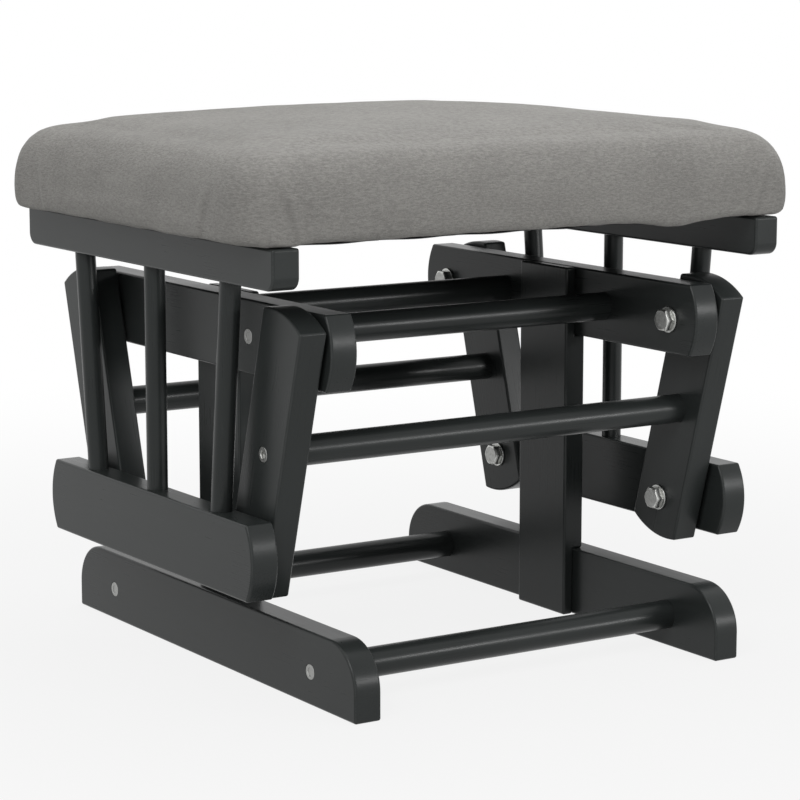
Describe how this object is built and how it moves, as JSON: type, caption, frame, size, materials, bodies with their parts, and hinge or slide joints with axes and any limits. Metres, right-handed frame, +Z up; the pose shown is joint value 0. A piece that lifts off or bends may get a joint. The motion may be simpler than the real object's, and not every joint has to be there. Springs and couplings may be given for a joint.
{
  "type": "glider ottoman",
  "caption": "Glider ottoman: a padded seat hung on swinging links from a standing timber frame, so it glides fore and aft under the feet.",
  "frame": {"origin": "on the floor, at the middle of the base in both directions", "axes": "+X to the sitter's right across the width, -Y to the front (the side seen first in the picture), +Z up"},
  "size_m": [0.497, 0.44, 0.4269],
  "materials": {
    "painted_timber": "satin charcoal-black lacquer over hardwood",
    "bare_timber": "plain beech pins, hidden",
    "plywood": "plain birch plywood, hidden",
    "zinc_screws": "nickel-plated connector screws",
    "zinc_bolts": "zinc-plated hex bolts and washers",
    "bearing_steel": "turned steel",
    "bearing_balls": "polished steel balls",
    "staple_wire": "galvanised wire",
    "foam": "cut upholstery foam, hidden",
    "seat_fabric": "mid-grey brushed microfibre",
    "lining_cloth": "black non-woven lining"
  },
  "bodies": {
    "base": {"base_rail_left": "painted_timber", "base_rail_right": "painted_timber", "base_dowel_front": "painted_timber", "base_dowel_rear": "painted_timber", "post_left": "painted_timber", "post_right": "painted_timber", "glide_rail_left": "painted_timber", "glide_rail_right": "painted_timber", "glide_dowel_front": "painted_timber", "glide_dowel_rear": "painted_timber", "post_pins": "bare_timber", "base_screws": "zinc_screws", "glide_screws": "zinc_screws", "upper_pivot_bolts": "zinc_bolts", "upper_pivot_washers": "zinc_bolts", "upper_bearing_hubs": "bearing_steel"},
    "front_swing": {"front_link_left": "painted_timber", "front_link_right": "painted_timber", "front_link_dowel": "painted_timber", "front_link_screws": "zinc_screws", "front_upper_bearing_shells": "bearing_steel", "front_upper_bearing_balls": "bearing_balls", "front_lower_bolts": "zinc_bolts", "front_lower_washers": "zinc_bolts", "front_lower_bearing_hubs": "bearing_steel"},
    "rear_swing": {"rear_link_left": "painted_timber", "rear_link_right": "painted_timber", "rear_link_dowel": "painted_timber", "rear_link_screws": "zinc_screws", "rear_upper_bearing_shells": "bearing_steel", "rear_upper_bearing_balls": "bearing_balls", "rear_lower_bolts": "zinc_bolts", "rear_lower_washers": "zinc_bolts", "rear_lower_bearing_hubs": "bearing_steel"},
    "seat": {"side_rail_left": "painted_timber", "side_rail_right": "painted_timber", "cushion_rail_left": "painted_timber", "cushion_rail_right": "painted_timber", "spindle_left_front": "painted_timber", "spindle_left_middle": "painted_timber", "spindle_left_rear": "painted_timber", "spindle_right_front": "painted_timber", "spindle_right_middle": "painted_timber", "spindle_right_rear": "painted_timber", "seat_board": "plywood", "seat_foam": "foam", "seat_cover": "seat_fabric", "underside_lining": "lining_cloth", "lining_staples": "staple_wire", "seat_screws": "zinc_screws", "front_lower_bearing_shells": "bearing_steel", "front_lower_bearing_balls": "bearing_balls", "rear_lower_bearing_shells": "bearing_steel", "rear_lower_bearing_balls": "bearing_balls"}
  },
  "joints": [
    {"name": "front_swing_pivot", "type": "hinge", "parent": "base", "child": "front_swing", "pos_m": [0, -0.1558, 0.2612], "axis": [1, 0, 0], "range_deg": [-12, 12]},
    {"name": "seat_pivot", "type": "hinge", "parent": "front_swing", "child": "seat", "pos_m": [0, -0.1138, 0.1102], "axis": [1, 0, 0], "range_deg": [-16.5, 16.5]},
    {"name": "rear_swing_pivot", "type": "hinge", "parent": "base", "child": "rear_swing", "pos_m": [0, 0.1558, 0.2612], "axis": [1, 0, 0], "range_deg": [-12, 12]}
  ],
  "couplings": [
    {"joint": "seat_pivot", "follows": "front_swing_pivot", "ratio": -1.369},
    {"joint": "rear_swing_pivot", "follows": "front_swing_pivot", "ratio": 1}
  ]
}
